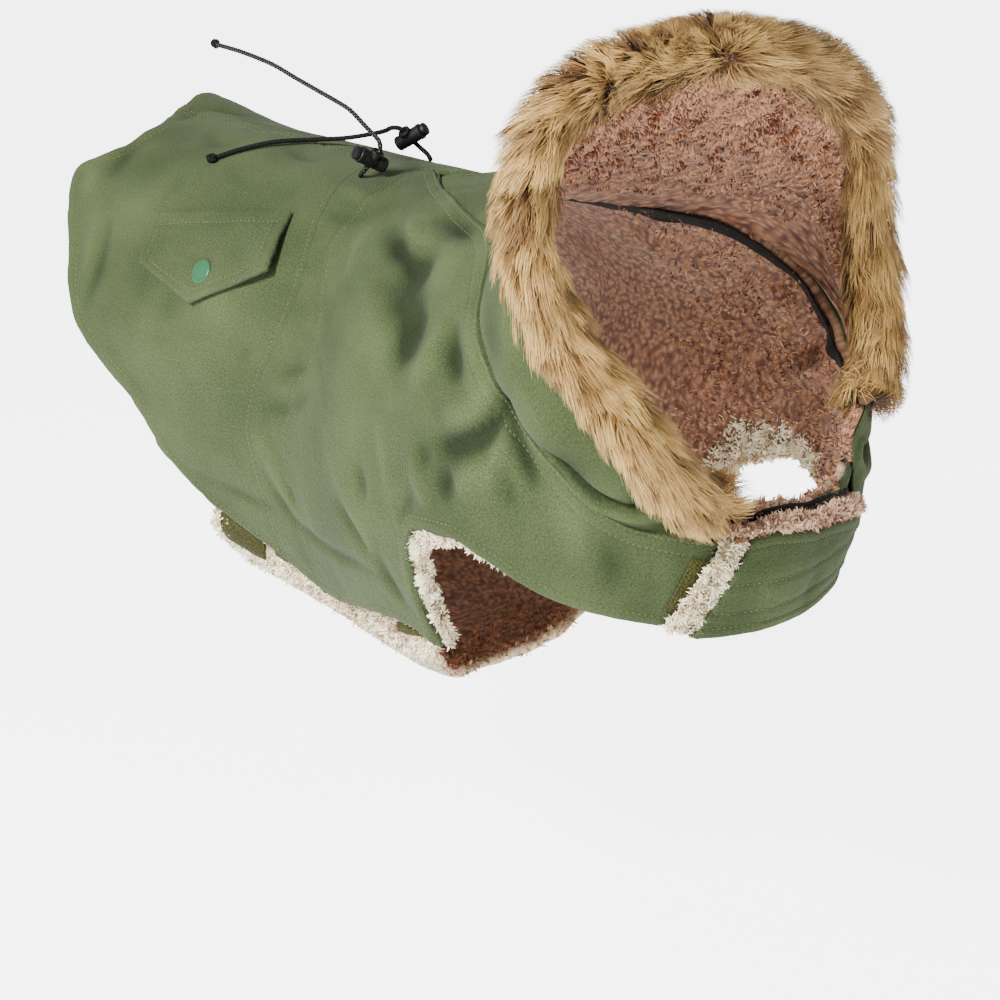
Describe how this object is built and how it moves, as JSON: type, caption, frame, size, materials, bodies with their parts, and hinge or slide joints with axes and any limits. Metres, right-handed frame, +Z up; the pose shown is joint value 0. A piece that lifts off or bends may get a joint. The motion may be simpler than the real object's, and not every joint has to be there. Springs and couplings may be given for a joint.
{
  "type": "hooded dog coat",
  "caption": "Hooded dog coat in its worn shape: canvas shell, sherpa lining, fur-trimmed hood, waist drawcord with cord locks, pocket flap, and belly and chest flaps that close at the side.",
  "frame": {"origin": "underside of the lining over the middle of the back, just in front of the waist drawcord, where the wearer carries the coat", "axes": "+X towards the wearer's head, +Y to its left, +Z up"},
  "size_m": [0.5065, 0.2738, 0.3505],
  "materials": {
    "olive_canvas": "matt woven cotton canvas",
    "cream_sherpa": "curled deep pile",
    "tan_fur": "long faux-fur pile",
    "black_tape": "woven tape",
    "hook_and_loop": "hook-and-loop tape",
    "black_cord": "braided elastic cord",
    "black_plastic": "moulded, satin",
    "green_stud": "moulded cap"
  },
  "bodies": {
    "root": {"rear_right": "olive_canvas", "rear_left": "olive_canvas", "waist_channel": "olive_canvas", "front_right": "olive_canvas", "front_left": "olive_canvas", "hood_right": "olive_canvas", "hood_left": "olive_canvas", "pocket_flap": "olive_canvas", "lining_right": "cream_sherpa", "lining_left": "cream_sherpa", "hood_lining_right": "cream_sherpa", "hood_lining_left": "cream_sherpa", "belly_panel": "cream_sherpa", "hood_trim": "tan_fur", "neck_tape_right": "black_tape", "neck_tape_left": "black_tape", "belly_patch_rear": "hook_and_loop", "belly_patch_front": "hook_and_loop", "chest_patch": "hook_and_loop", "press_stud": "green_stud", "drawcord_near": "black_cord", "drawcord_far": "black_cord", "cord_knot_near": "black_cord", "cord_knot_far": "black_cord", "cord_lock_near": "black_plastic", "cord_lock_far": "black_plastic", "lock_plunger_near": "black_plastic", "lock_plunger_far": "black_plastic"}
  },
  "joints": []
}
